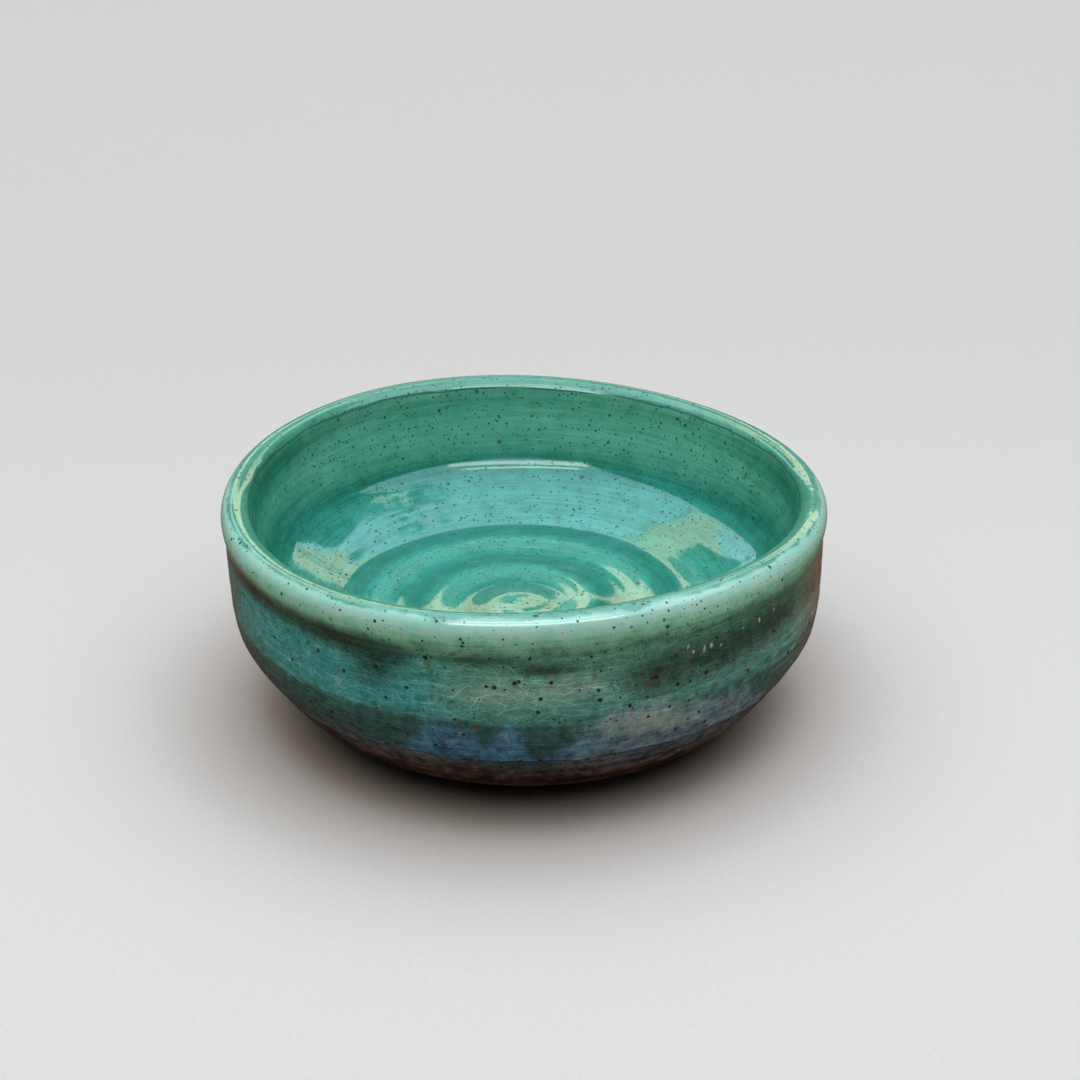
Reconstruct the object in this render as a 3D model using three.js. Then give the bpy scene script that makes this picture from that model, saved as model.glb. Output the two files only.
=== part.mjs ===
// A wheel-thrown stoneware bowl with its coats of glaze, in millimetres, +Z up.
// The origin is on the table, at the centre of the foot ring.
import * as THREE from "three";

// Driving dimensions.
const rimHeight = 57.6; // the clay's lip, on average round the rim
const lipRadius = 74.3; // outside of the clay just under the lip
const footRadius = 40; // outside of the foot ring
const footWidth = 5; // of the ring that stands on the table
const bellyHeight = 3.8; // from the table to the underside of the belly, beside the foot ring
const recessHeight = 8.5; // from the table to the trimmed underside inside the foot ring
const floorHeight = 24.85; // of the clay inside, at the centre
const glazeThickness = 0.6;
const bondGap = 0.1; // between the clay and the glaze on it
const jointGap = 0.3; // between one coat's edge and the next

// Where one coat of glaze ends and the next begins, as heights on the outside wall.
const linerEdge = 49;
const outerGlazeEdge = 32;
const blueGlazeEdge = 20;

// What the potter's hands leave: an uneven rim, and a spiral of finger grooves on the floor.
const ovality = 1.8; // added to the rim's radius on the long axis, taken off across it
const ovalDirection = THREE.MathUtils.degToRad(48);
const rimLean = 1.9; // how far the rim rises on its high side
const leanDirection = THREE.MathUtils.degToRad(214);
const rimSaddle = 1.4; // two rises and two dips round the rim
const saddleDirection = THREE.MathUtils.degToRad(126);
const spiralPitch = 16; // from one groove to the next
const spiralDepth = 0.4; // of a groove below the floor's mean surface
const grooveRadius = 43; // of the outermost groove, on the +Y side
const spiralEnd = 54; // the grooves have run out at this radius
const spiralStart = 8; // and begin at this one

const segments = 48; // round the bowl

const linePoints = (points) => points.map(([r, z]) => new THREE.Vector2(r, z));
const smoothLine = (points, steps) => new THREE.SplineCurve(linePoints(points)).getPoints(steps);

// The trimmed underside, from the axis out to the foot ring, across the face that it stands on
// and up its outside.
const undersideLine = linePoints([
  [0, recessHeight],
  [18, recessHeight - 0.3],
  [28, recessHeight - 1.4],
  [footRadius - footWidth - 1.6, recessHeight - 4],
  [footRadius - footWidth - 0.4, 1],
  [footRadius - footWidth + 0.4, 0],
  [footRadius - 0.7, 0],
  [footRadius, 0.8],
  [footRadius + 0.2, bellyHeight - 1],
]);

// The belly and the outside wall, from the foot ring up to the lip.
const outsideLine = smoothLine(
  [
    [footRadius + 1.5, bellyHeight],
    [48.3, bellyHeight + 0.5],
    [56.5, 6],
    [61.6, 10.2],
    [65.4, 14.8],
    [68.95, blueGlazeEdge],
    [71.8, 26],
    [72.85, outerGlazeEdge],
    [73.3, 40.8],
    [73.55, linerEdge],
    [lipRadius, 53.6],
  ],
  20,
);

// The lip, rolled over from the outside to the inside.
const lipLine = smoothLine(
  [
    [lipRadius, 53.6],
    [73.8, 56.1],
    [72.1, rimHeight],
    [70.1, rimHeight - 0.3],
    [68.75, 56.2],
    [67.9, 53.5],
  ],
  6,
);

// The inside wall, down to the corner where the floor begins.
const insideLine = smoothLine(
  [
    [67.9, 53.5],
    [67.05, 49.5],
    [65.85, 45],
    [64.45, 40.4],
    [62.95, 37],
    [60.9, 34.5],
    [57.5, 32.35],
  ],
  6,
);

// The floor, from the corner to the centre.
const floorLine = smoothLine(
  [
    [57.5, 32.35],
    [51.5, 29.3],
    [43, 26.3],
    [31.5, floorHeight + 0.5],
    [20, floorHeight + 0.1],
    [9, floorHeight],
    [0, floorHeight],
  ],
  14,
);

// The clay's glazed side, from the foot ring up the outside, over the lip and in to the centre.
const clayLine = [
  ...outsideLine,
  ...lipLine.slice(1),
  ...insideLine.slice(1),
  ...floorLine.slice(1),
];

// The clay line moved off the clay by a distance, square to itself.
function clayLineAt(distance) {
  return clayLine.map((point, i) => {
    const before = clayLine[Math.max(i - 1, 0)];
    const after = clayLine[i + 1] ?? new THREE.Vector2(-before.x, before.y);
    const along = after.clone().sub(before).setLength(distance);
    return new THREE.Vector2(point.x + along.y, point.y - along.x);
  });
}

// How far the throwing spiral lifts the floor at a place inside the bowl, or sinks it.
function spiralRelief(radius, angle) {
  const turns = (radius - grooveRadius) / spiralPitch - (angle - Math.PI / 2) / (2 * Math.PI);
  const outerFade = 1 - THREE.MathUtils.smoothstep(radius, grooveRadius, spiralEnd);
  const innerFade = THREE.MathUtils.smoothstep(radius, 0, spiralStart);
  return -spiralDepth * outerFade * innerFade * Math.cos(2 * Math.PI * turns);
}

// Moves a true turned shape's points to where the potter's hands left them.
function throwByHand(geometry) {
  const position = geometry.attributes.position;
  for (let i = 0; i < position.count; i++) {
    const point = new THREE.Vector3().fromBufferAttribute(position, i);
    const radius = Math.hypot(point.x, point.y);
    const angle = Math.atan2(point.y, point.x);
    const share = (point.z / rimHeight) ** 2; // none at the foot, all of it at the rim
    const oval = ovality * Math.cos(2 * (angle - ovalDirection));
    const lean = rimLean * Math.cos(angle - leanDirection);
    const saddle = rimSaddle * Math.cos(2 * (angle - saddleDirection));
    const isFloor = point.z > recessHeight + bellyHeight && radius < spiralEnd;
    const stretch = 1 + (share * oval) / lipRadius;
    const rise = (share * (lean + saddle) * radius) / lipRadius;
    const relief = isFloor ? spiralRelief(radius, angle) : 0;
    position.setXYZ(i, point.x * stretch, point.y * stretch, point.z + rise + relief);
  }
}

// A named piece turned from its outline, which runs with the material on its left.
function turned(name, outline, material) {
  const geometry = new THREE.LatheGeometry(outline, segments).rotateX(Math.PI / 2);
  throwByHand(geometry);
  geometry.computeVertexNormals();
  const mesh = new THREE.Mesh(geometry, material);
  mesh.name = name;
  return mesh;
}

// A coat of glaze on the clay line, from one of its points to another.
function coat(name, first, last, material) {
  const surface = (distance) => {
    const points = clayLineAt(distance).slice(first, last + 1);
    const end = points.at(-1);
    if (last === clayLine.length - 1) end.x = 0;
    else end.add(points.at(-2).clone().sub(end).setLength(jointGap));
    return points;
  };
  const outline = [...surface(bondGap).reverse(), ...surface(bondGap + glazeThickness)];
  if (last < clayLine.length - 1) outline.push(outline[0].clone());
  return turned(name, outline, material);
}

const matte = (color, roughness) =>
  new THREE.MeshStandardMaterial({ color, roughness, metalness: 0 });
const stoneware = matte(0x6e4a3c, 0.85);
const seafoamGlaze = matte(0x4fa58c, 0.12);
const sageGlaze = matte(0x5d8a76, 0.2);
const slateBlueGlaze = matte(0x5e7490, 0.3);

// The clay line's point nearest a height on the outside wall.
function pointAt(height) {
  const misses = outsideLine.map((point) => Math.abs(point.y - height));
  return misses.indexOf(Math.min(...misses));
}

const linerStart = pointAt(linerEdge);
const outerStart = pointAt(outerGlazeEdge);
const blueStart = pointAt(blueGlazeEdge);

const bowl = new THREE.Group();
bowl.add(
  turned("clay_body", [...undersideLine, ...clayLine], stoneware),
  coat("liner_glaze", linerStart, clayLine.length - 1, seafoamGlaze),
  coat("outer_glaze", outerStart, linerStart, sageGlaze),
  coat("blue_glaze", blueStart, outerStart, slateBlueGlaze),
);

export default bowl;
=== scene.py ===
"""The looks of a hand-thrown stoneware bowl: bare clay below, a seafoam liner glaze over the lip,
and sage and slate-blue glazes down the outside.

Outlines are in millimetres and Blender's objects in metres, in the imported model's frame: +Z up,
the foot's centre at the origin, the camera on the -Y side. Angles round the bowl are measured
from +X towards +Y, so the side nearest the camera is at -90 degrees.
"""

import math

import bpy
import numpy as np
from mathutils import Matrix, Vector


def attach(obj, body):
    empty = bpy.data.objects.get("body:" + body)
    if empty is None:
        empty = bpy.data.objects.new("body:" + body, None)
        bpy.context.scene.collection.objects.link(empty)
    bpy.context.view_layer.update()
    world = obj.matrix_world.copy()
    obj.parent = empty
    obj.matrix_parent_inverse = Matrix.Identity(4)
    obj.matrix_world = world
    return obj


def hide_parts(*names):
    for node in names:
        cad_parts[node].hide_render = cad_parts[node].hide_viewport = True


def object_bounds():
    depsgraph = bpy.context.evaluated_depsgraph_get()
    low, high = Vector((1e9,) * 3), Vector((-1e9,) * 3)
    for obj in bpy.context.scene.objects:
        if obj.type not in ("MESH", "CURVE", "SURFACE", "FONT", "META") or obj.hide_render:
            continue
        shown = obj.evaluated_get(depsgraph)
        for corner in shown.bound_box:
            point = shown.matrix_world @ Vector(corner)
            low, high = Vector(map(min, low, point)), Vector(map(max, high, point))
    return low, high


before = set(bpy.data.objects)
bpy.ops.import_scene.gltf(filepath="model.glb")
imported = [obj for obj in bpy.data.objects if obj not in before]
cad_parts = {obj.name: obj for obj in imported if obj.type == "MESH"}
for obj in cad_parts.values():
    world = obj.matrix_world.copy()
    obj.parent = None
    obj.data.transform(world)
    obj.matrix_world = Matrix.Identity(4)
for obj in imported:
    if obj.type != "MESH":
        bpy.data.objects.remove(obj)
cad_low, cad_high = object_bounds()

NOMINAL_HEIGHT = 60.05  # the outlines below are drawn for a bowl of this height
MM = (cad_high.z - cad_low.z) / NOMINAL_HEIGHT

# ---------------------------------------------------------------- the shape

RIM_HEIGHT = 57.6
LIP_RADIUS = 74.3
FOOT_RADIUS = 40
FOOT_WIDTH = 5
BELLY_HEIGHT = 3.8
RECESS_HEIGHT = 8.5
FLOOR_HEIGHT = 24.85
GLAZE_THICKNESS = 0.68
BOND_GAP = 0.02
LINER_EDGE = 49
OUTER_EDGE = 32
BLUE_EDGE = 20

OVALITY = 1.8
OVAL_DIRECTION = math.radians(48)
RIM_LEAN = 1.9
LEAN_DIRECTION = math.radians(214)
RIM_SADDLE = 1.4
SADDLE_DIRECTION = math.radians(126)
SPIRAL_PITCH = 16
SPIRAL_DEPTH = 0.32
GROOVE_RADIUS = 43
SPIRAL_END = 54
SPIRAL_START = 8
POOL_OFFSET = 2.5  # the glaze is darkest this far inwards of a groove's bottom
INSIDE_RELIEF = 0.15  # how much of the outside's lines and lumps the smoothed inside has

FOOT_INSIDE = FOOT_RADIUS - FOOT_WIDTH
UNDERSIDE = [
    (0, RECESS_HEIGHT),
    (9, RECESS_HEIGHT - 0.05),
    (18, RECESS_HEIGHT - 0.3),
    (28, RECESS_HEIGHT - 1.4),
    (FOOT_INSIDE - 1.6, RECESS_HEIGHT - 4),
    (FOOT_INSIDE - 0.4, 1),
    (FOOT_INSIDE + 0.4, 0),
    (FOOT_RADIUS - 0.7, 0),
    (FOOT_RADIUS, 0.8),
    (FOOT_RADIUS + 0.2, BELLY_HEIGHT - 1),
]
OUTSIDE = [
    (FOOT_RADIUS + 1.5, BELLY_HEIGHT),
    (48.3, BELLY_HEIGHT + 0.5),
    (56.5, 6),
    (61.6, 10.2),
    (65.4, 14.8),
    (68.95, BLUE_EDGE),
    (71.8, 26),
    (72.85, OUTER_EDGE),
    (73.3, 40.8),
    (73.55, LINER_EDGE),
    (LIP_RADIUS, 53.6),
]
LIP = [
    (73.8, 56.1),
    (72.1, RIM_HEIGHT),
    (70.1, RIM_HEIGHT - 0.3),
    (68.75, 56.2),
]
INSIDE = [
    (67.9, 53.5),
    (67.05, 49.5),
    (65.85, 45),
    (64.45, 40.4),
    (62.95, 37),
    (60.9, 34.5),
    (57.5, 32.35),
    (51.5, 29.3),
    (43, 26.3),
    (31.5, FLOOR_HEIGHT + 0.5),
    (20, FLOOR_HEIGHT + 0.1),
    (9, FLOOR_HEIGHT),
    (0, FLOOR_HEIGHT),
]
LINE_STEP = 0.1
LINE_SOFTNESS = 0.7  # how far a corner of an outline is rubbed round

# Marks of the outside glazes. Angles and half widths are in degrees, the rest in millimetres.
# A tongue of blue glaze is its angle, half width and tip height.
FRONT_TONGUES = [(-104, 7.5, 31.5), (-93.2, 4.2, 31), (-69, 13, 34.5), (-53, 15, 31)]
# A dab of glaze is its angle, height, half width, half height and strength.
FRONT_OLIVE = [
    (-150, 49.5, 22, 3.6, 1),
    (-125, 48.5, 12, 3, 1),
    (-116, 46, 7, 5, 0.8),
    (-118, 40, 5, 5, 0.5),
    (-98, 48, 9, 2, 0.7),
    (-86, 45.8, 8, 2, 0.85),
    (-66, 41, 9, 6, 0.8),
    (-52, 42, 16, 7, 0.9),
    (-36, 44, 12, 6, 0.9),
    (-15, 44, 12, 6, 0.8),
]
FRONT_PALE = [
    (-81, 41, 7, 3, 0.6),
    (-67, 29, 13, 4, 0.9),
    (-95, 40, 13, 4, 0.6),
    (-35, 31, 12, 3, 0.4),
]
WHEEL_RADIUS = 70  # of the cylinder that the materials' streaks are laid out on

SEGMENTS = 720
FINE_STEP = 0.45
COARSE_STEP = 2.4
ROLLED_EDGE = 0.8  # how far in from its run line the blue glaze swells to its thickness
THIN_BELOW = 8  # how far above that line the blue glaze is still thinner than the rest
SEEN_BEFORE_FOOT = 14  # the clay is finely meshed from this far inwards of the foot ring
SEEN_PAST_EDGE = 1  # to this far under the blue glaze


def curve_through(points):
    """Points every LINE_STEP along a smooth curve through the given ones."""
    p = np.array(points, float)
    ends = [2 * p[0] - p[1], *p, 2 * p[-1] - p[-2]]
    dense = []
    for a, b, c, d in zip(ends, ends[1:], ends[2:], ends[3:]):
        t = np.linspace(0, 1, 80, endpoint=False)[:, None]
        bend = 2 * b + (c - a) * t + (2 * a - 5 * b + 4 * c - d) * t**2 + (3 * b - a - 3 * c + d) * t**3
        dense.append(bend / 2)
    dense = np.vstack([*dense, p[-1]])
    along = np.r_[0, np.cumsum(np.linalg.norm(np.diff(dense, axis=0), axis=1))]
    even = np.linspace(0, along[-1], round(along[-1] / LINE_STEP) + 1)
    return np.column_stack([np.interp(even, along, dense[:, k]) for k in (0, 1)])


def rubbed(line):
    """The line with its corners rounded, its ends kept, and the centre left flat."""
    reach = round(4 * LINE_SOFTNESS / LINE_STEP)
    weights = np.exp(-0.5 * (np.arange(-reach, reach + 1) * LINE_STEP / LINE_SOFTNESS) ** 2)
    mirror = [-1, 1]
    before = line[reach:0:-1] * mirror
    after = line[-2 : -reach - 2 : -1] * mirror
    padded = np.vstack([before, line, after])
    soft = [np.convolve(padded[:, k], weights / weights.sum(), "valid") for k in (0, 1)]
    return np.column_stack(soft)


whole_line = rubbed(curve_through([*UNDERSIDE, *OUTSIDE, *LIP, *INSIDE]))
whole_line[0, 0] = whole_line[-1, 0] = 0
line_at = np.arange(len(whole_line)) * LINE_STEP
line_tangent = np.gradient(whole_line, axis=0)
line_tangent /= np.linalg.norm(line_tangent, axis=1)[:, None]
line_normal = np.column_stack([line_tangent[:, 1], -line_tangent[:, 0]])

lip_index = int(whole_line[:, 1].argmax())
foot_index = int(np.argmin(abs(whole_line[:, 0] - FOOT_RADIUS) + abs(whole_line[:, 1] - 2)))
LIP_AT = line_at[lip_index]
CENTRE_AT = line_at[-1]
angles = np.arange(SEGMENTS) * 2 * math.pi / SEGMENTS


def outside_at(height):
    """How far along the line the outside wall has a height."""
    wall = slice(foot_index, lip_index)
    return np.interp(height, whole_line[wall, 1], line_at[wall])


def fade(value, start, end):
    """0 up to start, 1 from end, and smooth between them. Works downhill too."""
    t = np.clip((value - start) / (end - start), 0, 1)
    return t * t * (3 - 2 * t)


def waver(angle, counts, seed):
    """A wandering value of about -1 to 1 round the bowl, with the given numbers of waves."""
    draw = np.random.default_rng(seed)
    total = 0
    for count in counts:
        total = total + draw.uniform(0.5, 1) * np.cos(count * angle + draw.uniform(0, 2 * math.pi))
    return total / math.sqrt(len(counts))


def spiral_relief(radius, angle):
    """The finger grooves on the floor, in millimetres up or down."""
    turns = (radius - GROOVE_RADIUS) / SPIRAL_PITCH - (angle - math.pi / 2) / (2 * math.pi)
    outer = 1 - fade(radius, GROOVE_RADIUS, SPIRAL_END)
    inner = fade(radius, 0.2 * SPIRAL_START, 1.6 * SPIRAL_START)
    return -SPIRAL_DEPTH * outer * inner * np.cos(2 * math.pi * turns)


def relief(at, angle, radius):
    """How far the surface stands off the outline: finger grooves, throwing lines and lumps."""
    inside = at > LIP_AT
    wall = np.where(inside, fade(at, LIP_AT + 5, LIP_AT + 12), fade(at, LIP_AT - 5, LIP_AT - 12))
    floor = inside & (radius < SPIRAL_END + 2)
    foot = fade(at, line_at[foot_index], line_at[foot_index] + 10)
    lines = 0.03 * np.sin(at + 0.9 * np.sin(angle)) + 0.02 * np.sin(at * 1.9 - angle)
    lumps = 0.07 * waver(angle + at / 30, (2, 3, 5), 3) + 0.02 * waver(angle - at / 17, (7, 9, 12), 4)
    grooves = np.where(floor, spiral_relief(radius, angle), 0)
    return grooves + foot * np.where(inside, INSIDE_RELIEF, 1) * (wall * lines + lumps)


def surface(at, lift):
    """Points in metres, one row per place along the line and one column per angle."""
    radius = np.interp(at, line_at, whole_line[:, 0])
    height = np.interp(at, line_at, whole_line[:, 1])
    off = relief(at, angles, radius) * fade(radius, 0, 3) + lift
    r = radius + off * np.interp(at, line_at, line_normal[:, 0])
    z = height + off * np.interp(at, line_at, line_normal[:, 1])
    share = np.clip(z / RIM_HEIGHT, 0, None) ** 2
    oval = OVALITY * np.cos(2 * (angles - OVAL_DIRECTION))
    lean = RIM_LEAN * np.cos(angles - LEAN_DIRECTION)
    saddle = RIM_SADDLE * np.cos(2 * (angles - SADDLE_DIRECTION))
    rise = share * (lean + saddle) * r / LIP_RADIUS
    r = r * (1 + share * oval / LIP_RADIUS)
    z = np.clip(z + rise, 0, None)
    return np.stack([r * np.cos(angles), r * np.sin(angles), z], -1) * MM


def places(start, end, step):
    """Even places from one line round the bowl to another, either of which may waver."""
    start = np.broadcast_to(start, angles.shape)
    end = np.broadcast_to(end, angles.shape)
    rows = max(2, math.ceil(abs(end - start).max() / step) + 1)
    return start + (end - start) * np.linspace(0, 1, rows)[:, None]


def on_both_sides(marks):
    """The front's marks, and the same again half a turn round, for the back."""
    return [(mark[0] + turn, *mark[1:]) for turn in (0, 180) for mark in marks]


def dabs(at, marks):
    """How much of some soft brush marks there is at each point of the outside, from 0 to 1."""
    height = np.interp(at, line_at, whole_line[:, 1])
    bare = np.ones(at.shape)
    for degrees, middle, half_width, half_height, strength in on_both_sides(marks):
        turn = turned_from(degrees) / half_width
        rise = (height - middle) / half_height
        bare = bare * (1 - strength * np.exp(-(turn**2) - rise**2))
    return np.where(at < LIP_AT, 1 - bare, 0)


def turned_from(degrees):
    """How many degrees every angle is from a given one, at most 180 either way."""
    return (np.degrees(angles) - degrees + 180) % 360 - 180


def blue_cover(at):
    """How much slate blue there is at each point: tongues that lick up from the blue glaze's edge."""
    height = np.interp(at, line_at, whole_line[:, 1])
    top = np.full(SEGMENTS, BLUE_EDGE - 1.0)
    for degrees, half_width, tip in on_both_sides(FRONT_TONGUES):
        reach = np.exp(-(abs(turned_from(degrees) / half_width) ** 3))
        top = np.maximum(top, BLUE_EDGE + (tip - BLUE_EDGE) * reach)
    tongues = fade(height, top + 3.5, top - 4)
    return np.where(at < LIP_AT, tongues, 0) * fade(at, blue_edge_at - 0.4, blue_edge_at + 0.8)


def glaze_fields(at):
    """What the materials read from the mesh: a place on a cylinder that is as wide as the bowl, with
    the way along the outline as its height; the cover of blue, olive and pale glaze; the grooves."""
    radius = np.interp(at, line_at, whole_line[:, 0])
    inside = (at > LIP_AT) & (radius < SPIRAL_END + 2)
    around = [np.broadcast_to(WHEEL_RADIUS * turn(angles), at.shape) for turn in (np.cos, np.sin)]
    return {
        "wheel": [*around, at],
        "cover": [blue_cover(at), dabs(at, FRONT_OLIVE), dabs(at, FRONT_PALE)],
        "groove": [np.where(inside, spiral_relief(radius + POOL_OFFSET, angles) / SPIRAL_DEPTH, 0)],
        "run": [at - blue_edge_at],
    }


def ring_faces(count, poles):
    """The faces between rings of points: all their corners, and how many each face has. With poles
    the first and last ring are points on the axis; without them the last ring joins the first."""
    index = np.arange(count * SEGMENTS).reshape(count, SEGMENTS)
    beside = np.roll(index, -1, axis=1)
    if poles:
        index[0] = beside[0] = index[0, 0]
        index[-1] = beside[-1] = index[-1, 0]
        bands = [(i, i + 1) for i in range(count - 1)]
    else:
        bands = [(i, (i + 1) % count) for i in range(count)]
    corners = []
    sizes = []
    for low, high in bands:
        quad = np.stack([index[low], beside[low], beside[high], index[high]], -1)
        if poles and low == 0:
            quad = quad[:, [0, 2, 3]]
        elif poles and high == count - 1:
            quad = quad[:, [0, 1, 2]]
        corners.append(quad.ravel())
        sizes.append(np.full(SEGMENTS, quad.shape[1]))
    return np.concatenate(corners), np.concatenate(sizes)


def mesh_piece(name, at, lift, poles, node):
    """A closed piece made of rings of points, which stands for a CAD node."""
    rings = surface(at, lift)
    corners, sizes = ring_faces(len(rings), poles)
    used, corners = np.unique(corners, return_inverse=True)
    mesh = bpy.data.meshes.new(name)
    mesh.vertices.add(len(used))
    mesh.vertices.foreach_set("co", rings.reshape(-1, 3)[used].astype(np.float32).ravel())
    mesh.loops.add(len(corners))
    mesh.loops.foreach_set("vertex_index", corners.astype(np.int32))
    mesh.polygons.add(len(sizes))
    mesh.polygons.foreach_set("loop_start", (np.cumsum(sizes) - sizes).astype(np.int32))
    mesh.update(calc_edges=True)
    mesh.validate()
    for field, parts in glaze_fields(at).items():
        kind, key = ("FLOAT_VECTOR", "vector") if len(parts) == 3 else ("FLOAT", "value")
        values = np.stack(parts, -1).reshape(-1, len(parts))[used].astype(np.float32)
        mesh.attributes.new(field, kind, "POINT").data.foreach_set(key, values.ravel())
    mesh.shade_smooth()
    mesh.set_sharp_from_angle(angle=math.radians(50))
    piece = bpy.data.objects.new(name, mesh)
    bpy.context.scene.collection.objects.link(piece)
    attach(piece, "root")
    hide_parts(node)
    return piece


liner_edge_at = outside_at(LINER_EDGE + 1.2 * waver(angles, (2, 3, 7), 11))
outer_edge_at = outside_at(OUTER_EDGE - 1 + 1.5 * waver(angles, (3, 8, 13), 12))
blue_edge_at = outside_at(BLUE_EDGE + 0.55 * waver(angles, (5, 17, 29, 43), 13))


def coat(node, start, end, poles=False):
    """The skin of glaze that stands for a CAD node, on the clay between two lines round the bowl."""
    face = places(start, end, FINE_STEP)
    back = places(end, start, COARSE_STEP)
    rolled = np.clip((face - blue_edge_at) / ROLLED_EDGE, 0.004, 1)
    thinned = 0.35 + 0.65 * fade(face, blue_edge_at, blue_edge_at + THIN_BELOW)
    thickness = GLAZE_THICKNESS * thinned * np.sqrt(1 - (1 - rolled) ** 2)
    at = np.vstack([back, face])
    lift = np.vstack([np.full(back.shape, BOND_GAP), BOND_GAP + thickness])
    return mesh_piece("bowl_" + node, at, lift, poles, node)


def build_pieces():
    """The clay body and its three coats. The clay is fine only where it shows."""
    foot_at = line_at[foot_index]
    bare_from = foot_at - SEEN_BEFORE_FOOT
    covered_from = blue_edge_at + SEEN_PAST_EDGE
    clay_at = np.vstack(
        [
            places(0, bare_from, COARSE_STEP)[:-1],
            places(bare_from, covered_from, FINE_STEP)[:-1],
            places(covered_from, CENTRE_AT, COARSE_STEP),
        ]
    )
    return {
        "clay": mesh_piece("bowl_clay", clay_at, 0, True, "clay_body"),
        "liner": coat("liner_glaze", liner_edge_at, CENTRE_AT, poles=True),
        "outer": coat("outer_glaze", outer_edge_at, liner_edge_at),
        "blue": coat("blue_glaze", blue_edge_at, outer_edge_at),
    }


# ---------------------------------------------------------------- camera

CAMERA_AIM = (3.5, 0, 43.06)
CAMERA_DISTANCE = 650
CAMERA_ELEVATION = math.radians(26.08)
SENSOR_WIDTH = 36
LENS_LENGTH = 86.667


def add_camera():
    """The camera looks down at the bowl's middle, at the photograph's angle."""
    data = bpy.data.cameras.new("camera")
    data.sensor_width = SENSOR_WIDTH
    data.lens = LENS_LENGTH
    data.clip_start = 0.01
    data.clip_end = 20
    camera = bpy.data.objects.new("camera", data)
    back = Vector((0, -math.cos(CAMERA_ELEVATION), math.sin(CAMERA_ELEVATION)))
    camera.location = (Vector(CAMERA_AIM) + back * CAMERA_DISTANCE) * MM
    camera.rotation_euler = (math.pi / 2 - CAMERA_ELEVATION, 0, 0)
    bpy.context.scene.collection.objects.link(camera)
    bpy.context.scene.camera = camera


add_camera()
pieces = build_pieces()


# ---------------------------------------------------------------- materials


class Field:
    """A value that varies over a surface. Arithmetic on it adds Math nodes."""

    def __init__(self, tree, socket):
        self.tree = tree
        self.socket = socket

    def math(self, operation, *others):
        """A Math node of this value and others."""
        node = self.tree.nodes.new("ShaderNodeMath")
        node.operation = operation
        for socket, value in zip(node.inputs, [self, *others]):
            connect(self.tree, value, socket)
        return Field(self.tree, node.outputs[0])

    def __add__(self, other):
        return self.math("ADD", other)

    def __mul__(self, other):
        return self.math("MULTIPLY", other)

    def __sub__(self, other):
        return self.math("SUBTRACT", other)

    def __rsub__(self, other):
        return self * -1 + other

    __radd__ = __add__
    __rmul__ = __mul__


def connect(tree, value, socket):
    """Feeds a socket with a Field, a number or a colour."""
    if isinstance(value, Field):
        tree.links.new(value.socket, socket)
    elif hasattr(value, "__len__") and len(value) < len(socket.default_value):
        socket.default_value = (*value, 1)
    else:
        socket.default_value = value


def srgb(red, green, blue):
    """Blender's linear colour for a screen colour of 0 to 255."""
    return tuple(((c / 255 + 0.055) / 1.055) ** 2.4 for c in (red, green, blue))


class Nodes:
    """Adds nodes to a node tree. Lengths are in millimetres."""

    def __init__(self, tree):
        self.tree = tree

    def node(self, kind, feed, **settings):
        """A new node, with what feeds its sockets and how it is set."""
        node = self.tree.nodes.new("ShaderNode" + kind)
        for key, value in settings.items():
            setattr(node, key, value)
        for key, value in feed.items():
            connect(self.tree, value, node.inputs[key])
        return node

    def out(self, node, key=0):
        """One of a node's results."""
        return Field(self.tree, node.outputs[key])

    def attribute(self, name, output):
        """A field that glaze_fields put in the mesh."""
        return self.out(self.node("Attribute", {}, attribute_name=name), output)

    def split(self, vector):
        """The three parts of a place or colour."""
        node = self.node("SeparateXYZ", {0: vector})
        return [self.out(node, key) for key in (0, 1, 2)]

    def scaled(self, vector, factors):
        """A place with each of its parts multiplied."""
        return self.out(self.node("VectorMath", {0: vector, 1: factors}, operation="MULTIPLY"))

    def moved(self, vector, distance):
        """A place moved equally along X, Y and Z."""
        return self.out(self.node("VectorMath", {0: vector, 1: [distance] * 3}, operation="ADD"))

    def noise(self, vector, size, detail=2.0, roughness=0.5):
        """Noise from about -1 to 1, with bumps of about that size."""
        feed = {"Vector": vector, "Scale": 1 / size, "Detail": detail, "Roughness": roughness}
        return self.out(self.node("TexNoise", feed)) * 2 - 1

    def warped(self, vector, size, reach):
        """The place, pushed about by noise."""
        push = self.node("TexNoise", {"Vector": vector, "Scale": 1 / size, "Detail": 1.0})
        feed = {0: self.out(push, "Color"), 1: [2 * reach] * 3, 2: vector}
        return self.out(self.node("VectorMath", feed, operation="MULTIPLY_ADD"))

    def fade(self, value, start, end):
        """The same as fade above, in nodes."""
        feed = {"Value": value, "From Min": start, "From Max": end}
        return self.out(self.node("MapRange", feed, interpolation_type="SMOOTHSTEP"))

    def mix(self, share, first, second, blend="MIX"):
        """The first colour with a share of the second."""
        node = self.node("Mix", {0: share, 6: first, 7: second}, data_type="RGBA", blend_type=blend)
        return self.out(node, 2)

    def ramp(self, value, stops):
        """Colours along a value. The stops are pairs of a value and a screen colour."""
        low, high = stops[0][0], stops[-1][0]
        node = self.node("ValToRGB", {0: (value - low) * (1 / (high - low))})
        elements = node.color_ramp.elements
        for element in list(elements)[1:]:
            elements.remove(element)
        for index, (place, colour) in enumerate(stops):
            position = (place - low) / (high - low)
            element = elements.new(position) if index else elements[0]
            element.position = position
            element.color = (*srgb(*colour), 1)
        return self.out(node)


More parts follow.
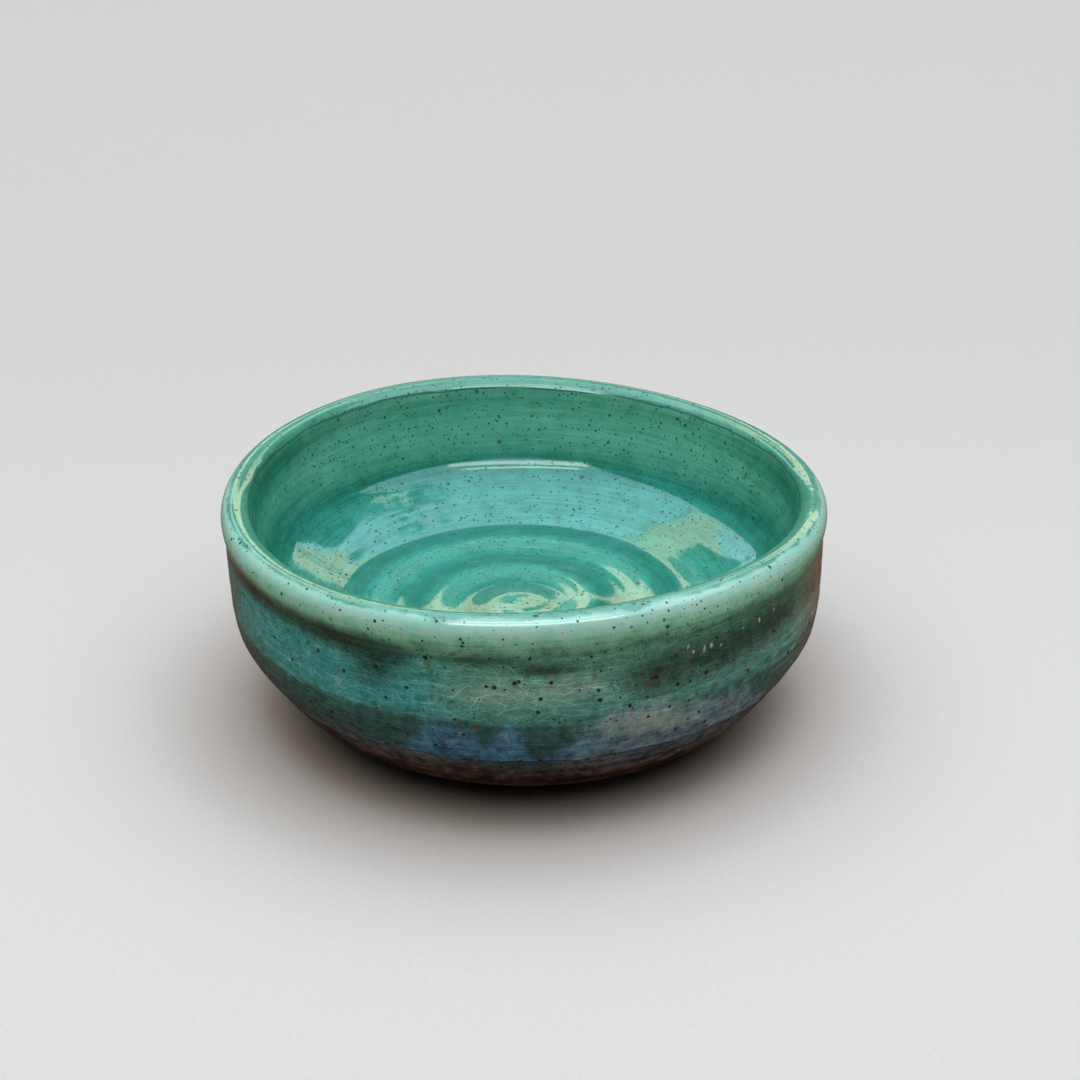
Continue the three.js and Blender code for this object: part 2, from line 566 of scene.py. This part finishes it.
class Paint(Nodes):
    """A material in the making."""

    def __init__(self, name, **constants):
        self.material = bpy.data.materials.new(name)
        self.material.use_nodes = True
        super().__init__(self.material.node_tree)
        self.shader = self.tree.nodes["Principled BSDF"]
        for key, value in constants.items():
            self.shader.inputs[key.replace("_", " ")].default_value = value
        metres = self.out(self.node("TexCoord", {}), "Object")
        self.solid = self.scaled(metres, [1 / MM] * 3)
        self.wheel = self.attribute("wheel", "Vector")
        self.east, self.north, self.at = self.split(self.wheel)
        self.cover = self.attribute("cover", "Vector")

    def zone(self, at, rise, fall):
        """1 in a zone of the outside wall. It fades in over the heights rise, and out over fall."""
        starts = self.fade(at, outside_at(rise[0]), outside_at(rise[1]))
        ends = self.fade(at, outside_at(fall[0]), outside_at(fall[1]))
        return starts * ends

    def voronoi(self, place, spacing, randomness=1.0):
        """Scattered points: how far the nearest is, and three random numbers that are its own."""
        feed = {"Vector": place, "Scale": 1 / spacing, "Randomness": randomness}
        cells = self.node("TexVoronoi", feed)
        return self.out(cells, "Distance") * spacing, self.split(self.out(cells, "Color"))

    def finish(self, colour, roughness, height):
        """Feeds the shader. The height, in millimetres, becomes bump."""
        bump = self.node("Bump", {"Height": height, "Distance": MM, "Strength": 1.0})
        connect(self.tree, colour, self.shader.inputs["Base Color"])
        connect(self.tree, roughness, self.shader.inputs["Roughness"])
        connect(self.tree, self.out(bump), self.shader.inputs["Normal"])
        return self.material


def speckles(paint, spacing, smallest, largest, share):
    """Specks of iron, and a wider stain round the larger ones. The spacing is in all directions."""
    away, (chance, size, stain) = paint.voronoi(paint.warped(paint.solid, 0.6, 0.12), spacing)
    here = chance.math("LESS_THAN", share)
    radius = smallest + (largest - smallest) * size * size
    speck = paint.fade(away - radius, 0.07, -0.07) * here
    halo = paint.fade(away - radius * 2.2, 0, -1.2 * largest) * here * paint.fade(stain, 0.7, 0.9)
    return speck, halo


CRACK_WIDTH = 0.12


def crazing(paint, spacing, slope, seed):
    """One set of fine crackle lines that run round the bowl at a slope, wander, and come and go."""
    shifted = paint.moved(paint.solid, seed)
    wander = 2.2 * paint.noise(shifted, 15, 1.0) + 0.1 * paint.noise(shifted, 4.5, 0.0)
    slanted = paint.at + slope * paint.east - 0.6 * slope * paint.north
    along = slanted * (1 / spacing) + wander
    line = paint.fade(along.math("PINGPONG", 0.5), CRACK_WIDTH / spacing, 0)
    return line * paint.fade(paint.noise(shifted, 8.0, 2.0), -0.5, 0)


def rust_runs(paint, colour):
    """Grains of iron that bled and ran a little way down, on the upper outside."""
    place = paint.warped(paint.scaled(paint.solid, (1, 1, 0.5)), 0.8, 0.16)
    away, (chance, size, _) = paint.voronoi(place, 4.4)
    here = chance.math("LESS_THAN", 0.7) * paint.zone(paint.at, (28, 32), (56, 53))
    stain = paint.fade(away - 0.6 * size, 0.6, -0.2)
    grain = paint.fade(away - 0.28 * size, 0.14, -0.06)
    colour = paint.mix(0.65 * here * stain, colour, srgb(120, 86, 52))
    return paint.mix(0.85 * here * grain, colour, srgb(38, 28, 20))


def crackle_net(paint):
    """Patches where the crackle lines meet in a net of small cells."""
    place = paint.warped(paint.warped(paint.wheel, 9.0, 2.5), 2.0, 0.25)
    place = paint.scaled(place, (0.3, 0.3, 0.42))
    feed = {"Vector": place, "Scale": 1.0, "Randomness": 0.9}
    net = paint.node("TexVoronoi", feed, feature="DISTANCE_TO_EDGE")
    line = paint.fade(paint.out(net, "Distance"), 0.05, 0.0)
    return line * paint.fade(paint.noise(paint.moved(paint.solid, 60), 11.0, 2.0), -0.1, 0.3)


STREAKS = (0.035, 0.035, 1)  # squeezes noise round the wheel, so that it draws throwing lines


def streaks(paint, size, detail=3.0):
    """Marks that run round the bowl."""
    place = paint.warped(paint.scaled(paint.wheel, STREAKS), 3 * size, 0.5 * size)
    return paint.noise(place, size, detail, 0.6)


def contrast(paint, colour, share, pattern):
    """Lightens and darkens a colour by a pattern that runs from about -1 to 1."""
    grey = paint.mix(paint.fade(pattern, -0.8, 0.8), (0, 0, 0), (1, 1, 1))
    return paint.mix(share, colour, grey, "SOFT_LIGHT")


class Patterns:
    """The patterns that the outside's colours share. Each runs from about -1 to 1."""

    def __init__(self, paint):
        self.brushed = streaks(paint, 1.6)
        self.broad = streaks(paint, 5.0)
        self.thin = streaks(paint, 0.6)
        self.cloud = paint.noise(paint.solid, 9.0, 3.0)
        self.blot = paint.noise(paint.solid, 2.6, 3.0, 0.6)
        self.fine = paint.noise(paint.solid, 0.4, 3.0, 0.7)


# The upper glazes' colours by height, as if they were seen without streaks or clouds.
UPPER_COLOURS = [
    (20, (54, 88, 92)),
    (23, (54, 98, 100)),
    (31, (60, 112, 110)),
    (34, (94, 164, 158)),
    (39, (124, 192, 182)),
    (45, (108, 176, 160)),
    (49.5, (96, 156, 130)),
    (51.5, (136, 208, 178)),
    (53.5, (166, 246, 218)),
    (55.5, (192, 255, 246)),
    (57, (184, 255, 246)),
]
RIM_COLOUR = (108, 194, 178)


def sage_and_olive(paint, marks):
    """The sage coat: teal to the west, milky in patches, and stained where olive was brushed on."""
    level = paint.at + marks.brushed + 2.2 * marks.cloud + 0.8 * marks.blot
    stops = [(outside_at(height), colour) for height, colour in UPPER_COLOURS]
    colour = paint.ramp(level, [*stops, (LIP_AT - 1, RIM_COLOUR)])
    teal_zone = paint.zone(level, (31, 35), (50, 46))
    west = paint.fade(paint.east + 14 * marks.cloud, -4, -30)
    colour = paint.mix(0.8 * west * teal_zone, colour, srgb(60, 176, 180))
    milky = paint.fade(marks.blot + 0.4 * marks.brushed, 0.1, 0.7) * teal_zone
    colour = paint.mix(0.55 * milky, colour, srgb(154, 200, 180))
    below_lip = paint.fade(paint.at, outside_at(52), outside_at(49))
    stains = paint.fade(marks.blot + 0.6 * marks.broad + 0.5 * marks.cloud, -0.1, -0.8) * below_lip
    colour = paint.mix(0.65 * stains, colour, srgb(38, 88, 82))
    olive = paint.split(paint.cover)[1]
    ragged = 0.5 * marks.brushed + 0.4 * marks.broad + 0.5 * marks.blot
    return paint.mix(olive * paint.fade(ragged + 1.6 * olive, 0.1, 1.1), colour, srgb(34, 64, 50))


def blue_and_pale(paint, marks, colour):
    """The slate-blue tongues, which turn grey to the east, and pale patches."""
    blue, _, pale = paint.split(paint.cover)
    grey = paint.fade(paint.east + 10 * marks.broad, 4, 24)
    slate = paint.mix(grey, srgb(92, 154, 192), srgb(146, 174, 190))
    deep = paint.mix(grey, srgb(48, 94, 136), srgb(88, 120, 146))
    pooled = paint.fade(marks.blot + 1.2 * marks.cloud + 0.3 * marks.brushed, 0.7, -0.8)
    soft_blue = paint.fade(blue + 0.2 * marks.blot + 0.3 * marks.cloud, 0, 1)
    colour = paint.mix(0.9 * soft_blue, colour, paint.mix(pooled, slate, deep))
    ragged = 0.6 * marks.brushed + 0.5 * marks.broad + 0.5 * marks.blot
    light = pale * paint.fade(ragged + 1.4 * pale, 0.1, 1)
    return paint.mix(0.75 * light, colour, srgb(158, 184, 172))


def painted_side_reflections(paint, marks, colour):
    """Painted reflection: the glaze turns brown to the far east and west, for the brown that it mirrors
    there at a glancing angle.
    """
    sideways = paint.east.math("ABSOLUTE")
    side_reflection = paint.fade(sideways + 5 * marks.cloud + 4 * marks.broad + 2 * marks.blot, 60, 73)
    side_reflection = side_reflection * paint.fade(paint.at, outside_at(54), outside_at(50))
    # the brown of the painted reflection, darker to the west
    clay = paint.mix(paint.fade(paint.east, -30, 30), srgb(66, 50, 38), srgb(176, 124, 98))
    return paint.mix(0.65 * side_reflection, colour, clay)


def clay_below(paint, marks, colour):
    """The clay below the run line, washed with glaze that ran off, and the dark line itself."""
    run = paint.attribute("run", "Fac")
    drip = 3 * paint.fade(paint.east.math("ABSOLUTE"), 13, 4)
    ragged = 1.6 * marks.cloud + 0.9 * marks.brushed + 0.8 * marks.blot
    below = paint.fade(run + drip + ragged, 2.6, -3.2)
    grey = paint.fade(paint.east + 10 * marks.broad, 4, 24)
    run_off = paint.mix(grey, srgb(100, 98, 98), srgb(106, 112, 124))
    low = paint.mix(paint.fade(paint.at, outside_at(18), outside_at(11)), run_off, srgb(88, 62, 54))
    washed = contrast(paint, low, 0.8, marks.broad + marks.cloud + 0.8 * marks.blot)
    colour = paint.mix(below, colour, washed)
    line = paint.fade((run - 0.1).math("ABSOLUTE"), 0.5, 0.12)
    line = line * paint.fade(marks.cloud + 0.5 * marks.broad, -0.4, 0.2)
    return paint.mix(0.85 * line, colour, srgb(16, 22, 30))


def outside_colour(paint):
    """The layered glazes down the outside, from the lip to the foot. Every piece uses it, so that
    the glazes run into each other where the pieces meet."""
    marks = Patterns(paint)
    colour = sage_and_olive(paint, marks)
    colour = blue_and_pale(paint, marks, colour)
    # painted reflection: brown at the far east and west
    colour = painted_side_reflections(paint, marks, colour)
    colour = clay_below(paint, marks, colour)
    colour = contrast(paint, colour, 0.35, marks.thin + 0.8 * marks.brushed)
    return contrast(paint, colour, 0.6, marks.fine + 0.8 * marks.blot)


def speckled(paint, colour, layers, iron, rust):
    """The colour with specks of iron and their rusty stains, and where the specks are."""
    specks = 0
    for spacing, smallest, largest, share in layers:
        speck, halo = speckles(paint, spacing, smallest, largest, share)
        colour = paint.mix(0.55 * halo, colour, rust)
        colour = paint.mix(0.93 * speck, colour, iron)
        specks = speck + specks
    return colour, specks


OUTSIDE_SPECKS = [(2.3, 0.2, 0.6, 0.7), (1.3, 0.1, 0.3, 0.55)]


def pinholes(paint, colour):
    """Small pale dashes high on the outside, where the brush dragged the glaze thin."""
    dragged = paint.fade(paint.east, 32, 38) * paint.fade(paint.east, 60, 54)
    dragged = dragged * paint.zone(paint.at, (42, 45), (53, 51))
    place = paint.warped(paint.scaled(paint.solid, (0.8, 0.8, 0.5)), 2.0, 0.6)
    away, (chance, size, _) = paint.voronoi(place, 1.5)
    dash = paint.fade(away - 0.12 - 0.25 * size, 0.12, -0.08) * chance.math("LESS_THAN", 0.5)
    return paint.mix(0.8 * dash * dragged, colour, srgb(214, 226, 206))


def crackle(paint):
    """All the crackle lines of the outside glazes."""
    lines = crackle_net(paint)
    for spacing, slope, seed in [(2.1, 0.10, 3), (2.6, -0.22, 17), (3.0, 0.35, 31), (3.6, -0.7, 47)]:
        lines = lines.math("MAXIMUM", crazing(paint, spacing, slope, seed))
    return lines


def outside_glaze(name, roughness, crazed):
    """The sage and slate-blue coats."""
    paint = Paint(name, IOR=1.5)
    colour = pinholes(paint, outside_colour(paint))
    cracks = crazed * crackle(paint)
    colour = paint.mix(0.9 * cracks, colour, srgb(180, 190, 186), "DODGE")
    colour = rust_runs(paint, colour)
    colour, specks = speckled(paint, colour, OUTSIDE_SPECKS, srgb(14, 12, 10), srgb(120, 78, 44))
    ripple = 0.012 * paint.noise(paint.solid, 2.2) + 0.012 * streaks(paint, 1.1)
    mottle = paint.noise(paint.solid, 3.0)
    return paint.finish(colour, roughness + 0.06 * mottle + 0.12 * specks, ripple - 0.01 * cracks)


def liner_glaze():
    """The glossy seafoam coat: pale over the lip, darker where it pools."""
    paint = Paint("liner_glaze", IOR=1.5)
    outside = outside_colour(paint)
    brushed = streaks(paint, 1.3)
    broad = streaks(paint, 4.0)
    cloud = paint.noise(paint.solid, 12.0, 3.0)
    level = paint.at + 0.6 * brushed + 0.8 * cloud
    inside = paint.ramp(
        level,
        [
            (LIP_AT - 1, (108, 194, 178)),
            (LIP_AT + 2.5, (84, 174, 150)),
            (LIP_AT + 4, (64, 148, 124)),
            (LIP_AT + 6, (42, 130, 104)),
            (LIP_AT + 8.5, (62, 160, 134)),
            (LIP_AT + 12, (102, 188, 166)),
            (LIP_AT + 15, (92, 180, 158)),
            (LIP_AT + 18.5, (46, 144, 124)),
            (LIP_AT + 22, (44, 146, 128)),
            (LIP_AT + 26, (52, 158, 144)),
            (LIP_AT + 32, (64, 172, 160)),
            (CENTRE_AT, (66, 176, 164)),
        ],
    )
    on_wall = paint.fade(paint.at, LIP_AT + 24, LIP_AT + 18)
    # Painted light: the inside wall's far side is made paler, as if it were lit more than the sides.
    painted_back_light = paint.fade(paint.north + 15 * cloud, 15, 55) * on_wall * 0.5
    inside = paint.mix(painted_back_light, inside, srgb(132, 228, 204))
    inside = paint.mix(paint.fade(broad, 0, 0.9) * 0.45, inside, srgb(112, 174, 146))
    drips = paint.noise(paint.scaled(paint.wheel, (0.4, 0.4, 0.06)), 1.0, 3.0)
    inside = paint.mix(paint.fade(drips, 0.4, 0.8) * on_wall * 0.4, inside, srgb(170, 222, 200))
    mottle = paint.noise(paint.solid, 5.0, 4.0, 0.6)
    inside = contrast(paint, inside, 0.5, 0.6 * streaks(paint, 0.7) + 0.7 * brushed + 0.8 * mottle)
    line = paint.fade((level - (LIP_AT + 3.4)).math("ABSOLUTE"), 0.35, 0.1)
    inside = paint.mix(0.6 * line, inside, srgb(34, 84, 70))
    groove = paint.attribute("groove", "Fac")
    inside = paint.mix(paint.fade(groove, 0.4, -1) * 0.58, inside, srgb(22, 120, 108))
    inside = paint.mix(paint.fade(groove, 0.1, 1) * 0.4, inside, srgb(116, 204, 190))
    poured = paint.fade(paint.at, LIP_AT - 2, LIP_AT)
    colour = paint.mix(poured, outside, inside)
    # Painted shade: the rim is darkened on its far side.
    painted_back_rim_shade = paint.fade(paint.north, 20, 60) * paint.fade((paint.at - LIP_AT).math("ABSOLUTE"), 5, 1.5)
    colour = paint.mix(0.35 * painted_back_rim_shade, colour, srgb(44, 112, 92))
    layers = [(0.95, 0.1, 0.32, 0.25 + 0.6 * poured), (2.0, 0.18, 0.45, 0.45)]
    iron = paint.mix(poured, srgb(14, 12, 10), srgb(0, 58, 48))
    colour, specks = speckled(paint, colour, layers, iron, srgb(54, 110, 90))
    ripple = 0.004 * paint.noise(paint.solid, 4.0)
    return paint.finish(colour, 0.07 + 0.02 * cloud + 0.5 * specks, ripple)


def stoneware():
    """The bare clay and its thin wash of run glaze: gritty and nearly matt."""
    paint = Paint("stoneware", IOR=1.5)
    paint.shader.inputs["Specular IOR Level"].default_value = 0.25
    colour = outside_colour(paint)
    grit = paint.noise(paint.solid, 0.5, 3.0, 0.7)
    turned = streaks(paint, 0.7)
    under = paint.fade(paint.at, outside_at(4.5), outside_at(2))
    colour = paint.mix(under, colour, srgb(120, 92, 76))
    colour = contrast(paint, colour, 0.3, grit + 0.6 * turned)
    colour, _ = speckled(paint, colour, OUTSIDE_SPECKS, srgb(24, 16, 14), srgb(110, 66, 44))
    return paint.finish(colour, 0.62 + 0.12 * grit, 0.03 * grit + 0.05 * turned)


materials = {
    "clay": stoneware(),
    "liner": liner_glaze(),
    "outer": outside_glaze("outer_glaze", 0.16, 1.0),
    "blue": outside_glaze("blue_glaze", 0.24, 0.6),
}
for key, piece in pieces.items():
    piece.data.materials.append(materials[key])

# ---------------------------------------------------------------- stage

FLOOR_HALF = 6
FLOOR_GAP = 0.05  # keeps the floor off the standing face
FLOOR_LIT = (0.42, 0.40, 0.37)  # what light bounced on to the bowl sees
FLOOR_MIRRORED = (0.13, 0.08, 0.055)  # what the glazes reflect, as of a wooden bench
SKY_LIGHT = (1.20, 1.0, 0.82)
HORIZON_LIGHT = (0.03, 0.025, 0.02)
HAZE = (0.6, 0.6, 0.58)  # the backdrop that the camera sees
GLOOM = (0.05, 0.045, 0.035)  # what the glazes reflect where no card is
KEY_WATTS = 22
KEY_SIZE = 2
KEY_PLACE = Vector((0.1, -0.15, 2.4))
KEY_COLOUR = (0.88, 1, 1.15)


def seen_by(nodes, camera, diffuse, glossy):
    """A colour that differs between the camera, bounced light and mirror images."""
    path = nodes.node("LightPath", {})
    colour = nodes.mix(nodes.out(path, "Is Diffuse Ray"), camera, diffuse)
    return nodes.mix(nodes.out(path, "Is Glossy Ray"), colour, glossy)


def add_floor():
    """A pale matt floor with a fine grain, painted lighter towards the camera. Close under the bowl a
    painted contact shadow makes it darker and warmer.
    """
    paint = Paint("floor", Roughness=0.9)
    paint.shader.inputs["Specular IOR Level"].default_value = 0.1
    grain = paint.noise(paint.solid, 1.2, 4.0, 0.7)
    _, north, _ = paint.split(paint.solid)
    # Painted light: the floor is made lighter towards the camera, as if the light fell more brightly
    # there.
    painted_front_light = paint.fade(north, 300, -150)
    pale = paint.mix(painted_front_light, srgb(222, 230, 235), srgb(233, 241, 246))
    dim = paint.mix(painted_front_light, srgb(211, 220, 225), srgb(222, 230, 236))
    shade = paint.mix(paint.fade(grain, -1, 1), dim, pale)
    # Painted contact shadow: the floor is warmed and then darkened where the bowl hangs close over it.
    openness = paint.out(paint.node("AmbientOcclusion", {"Distance": 60 * MM}, samples=8), "AO")
    shade = paint.mix(0.22 * paint.fade(openness, 1, 0.5), shade, srgb(172, 124, 92))
    shade = paint.mix(paint.fade(openness, 0.4, 0.08), shade, srgb(22, 14, 10))
    colour = seen_by(paint, shade, FLOOR_LIT, FLOOR_MIRRORED)
    connect(paint.tree, colour, paint.shader.inputs["Base Color"])
    corners = [(x * FLOOR_HALF, y * FLOOR_HALF, 0) for x, y in ((-1, -1), (1, -1), (1, 1), (-1, 1))]
    mesh = bpy.data.meshes.new("floor")
    mesh.from_pydata(corners, [], [range(4)])
    mesh.materials.append(paint.material)
    floor = bpy.data.objects.new("floor", mesh)
    floor.location.z = cad_low.z - FLOOR_GAP * MM
    bpy.context.scene.collection.objects.link(floor)


def add_world():
    """Soft light from above, which fades towards the horizon. Mirror images see a dim room."""
    world = bpy.data.worlds.new("studio")
    world.use_nodes = True
    nodes = Nodes(world.node_tree)
    up = nodes.split(nodes.out(nodes.node("TexCoord", {}), "Generated"))[2]
    light = nodes.mix(nodes.fade(up, 0.36, 0.95), HORIZON_LIGHT, SKY_LIGHT)
    background = world.node_tree.nodes["Background"]
    connect(nodes.tree, seen_by(nodes, HAZE, light, GLOOM), background.inputs["Color"])
    bpy.context.scene.world = world


def add_key():
    """A wide soft light overhead, which the glazes don't mirror."""
    data = bpy.data.lights.new("key", "AREA")
    data.size = KEY_SIZE
    data.energy = KEY_WATTS
    data.color = KEY_COLOUR
    key = bpy.data.objects.new("key", data)
    key.location = KEY_PLACE
    key.rotation_euler = KEY_PLACE.to_track_quat("Z", "Y").to_euler()
    key.visible_glossy = False
    bpy.context.scene.collection.objects.link(key)


def add_card(name, distance, colour, outlines):
    """Far glowing shapes that only mirror images show. Their outlines are lists of directions."""
    paint = Paint(name, Roughness=1.0)
    paint.shader.inputs["Base Color"].default_value = (0, 0, 0, 1)
    paint.shader.inputs["Specular IOR Level"].default_value = 0
    paint.shader.inputs["Emission Color"].default_value = (*colour, 1)
    paint.shader.inputs["Emission Strength"].default_value = 1
    corners = []
    faces = []
    for outline in outlines:
        faces.append(range(len(corners), len(corners) + len(outline)))
        corners += [Vector((x, y, math.sqrt(1 - x * x - y * y))) * distance for x, y in outline]
    mesh = bpy.data.meshes.new(name)
    mesh.from_pydata(corners, [], faces)
    mesh.materials.append(paint.material)
    card = bpy.data.objects.new(name, mesh)
    bpy.context.scene.collection.objects.link(card)
    card.visible_camera = False
    card.visible_diffuse = False
    card.visible_shadow = False
    card.visible_transmission = False


def wires(starts_and_ends, gap=0.015, width=0.005):
    """The outlines of pairs of thin wires, each pair between two directions."""
    outlines = []
    for (a, b), (c, d) in starts_and_ends:
        for lower in (0, gap):
            upper = lower + width
            outlines.append([(a, b + lower), (c, d + lower), (c, d + upper), (a, b + upper)])
    return outlines


def leaves(count, middle, spread, seed):
    """The outlines of a cluster of leaves."""
    draw = np.random.default_rng(seed)
    outlines = []
    for _ in range(count):
        place = draw.normal(middle, spread)
        lean = draw.uniform(0, math.pi)
        long, wide = draw.uniform(0.02, 0.05), draw.uniform(0.008, 0.016)
        along = long * np.array([math.cos(lean), math.sin(lean)])
        across = wide * np.array([-math.sin(lean), math.cos(lean)])
        outlines.append([place + along, place + across, place - along, place - across])
    return outlines


# The surroundings that the glazes mirror: a bright sky over the bowl, a pale house and dark trees.
# A corner is a direction from the bowl: how far it leans to +X and how far to +Y, as parts of 1.
SKY = [
    (-0.46, 0.8),
    (-0.46, 0.5),
    (-0.42, 0.2),
    (-0.42, -0.35),
    (-0.35, -0.7),
    (0.2, -0.8),
    (0.6, -0.6),
    (0.86, -0.15),
    (0.86, 0.1),
    (0.64, 0.7),
    (0.2, 0.9),
    (-0.2, 0.92),
]
FAR_HAZE = [(-0.26, -0.36), (0.1, -0.33), (0.42, -0.36), (0.42, -0.42), (0.1, -0.46), (-0.26, -0.46)]
NEAR_HAZE = [(-0.34, -0.54), (0.1, -0.57), (0.56, -0.52), (0.56, -0.62), (0.1, -0.73), (-0.34, -0.68)]
HOUSE_EAST = [
    (0.5, 0.74),
    (0.42, 0.74),
    (0.34, 0.69),
    (0.18, 0.7),
    (0.14, 0.86),
    (-0.05, 0.86),
    (-0.05, 0.93),
    (0.15, 0.93),
    (0.3, 0.89),
    (0.55, 0.82),
]
HOUSE_WEST = [
    (-0.05, 0.86),
    (-0.09, 0.8),
    (-0.13, 0.64),
    (-0.28, 0.53),
    (-0.4, 0.5),
    (-0.43, 0.58),
    (-0.38, 0.7),
    (-0.3, 0.83),
    (-0.2, 0.9),
    (-0.05, 0.93),
]
TREES = [
    (0.44, 0.26),
    (0.45, 0.5),
    (0.41, 0.6),
    (0.38, 0.69),
    (0.46, 0.715),
    (0.62, 0.71),
    (0.88, 0.42),
    (0.97, 0.1),
    (0.85, 0.05),
    (0.6, 0.16),
]
BUSH = [(-0.29, 0.69), (-0.2, 0.74), (-0.15, 0.81), (-0.2, 0.86), (-0.36, 0.83), (-0.34, 0.78)]
COPSE = [
    (-0.075, 0.875),
    (-0.085, 0.84),
    (-0.085, 0.79),
    (-0.1, 0.73),
    (-0.07, 0.7),
    (0.06, 0.68),
    (0.13, 0.7),
    (0.24, 0.7),
    (0.3, 0.74),
    (0.28, 0.8),
    (0.27, 0.86),
    (0.15, 0.88),
    (0.08, 0.885),
    (0.04, 0.867),
    (-0.03, 0.867),
]
WIRE_RUNS = [((-0.4, 0.47), (-0.12, 0.6)), ((0.52, 0.735), (0.3, 0.79))]


def add_reflections():
    """The nearer a card, the more it hides: leaves before trees, house and sky."""
    add_card("sky_card", 14, (1.9, 2.8, 3.4), [SKY])
    add_card("haze_card", 10, (8.0, 9.8, 9.2), [FAR_HAZE, NEAR_HAZE])
    add_card("house_card", 5, (3.0, 2.75, 1.75), [HOUSE_EAST, HOUSE_WEST])
    add_card("tree_card", 3, (0.03, 0.06, 0.03), [TREES, BUSH, COPSE])
    add_card("wire_card", 2.6, (0.02, 0.04, 0.03), wires(WIRE_RUNS))
    add_card("leaf_card", 2.5, (0.04, 0.09, 0.05), leaves(70, (0.42, 0.32), (0.09, 0.09), 5))
    add_card("bright_leaf_card", 2.4, (3.2, 3.8, 3.4), leaves(16, (0.46, 0.28), (0.09, 0.08), 9))


add_floor()
add_world()
add_key()
add_reflections()
bpy.context.scene.view_settings.view_transform = "Standard"
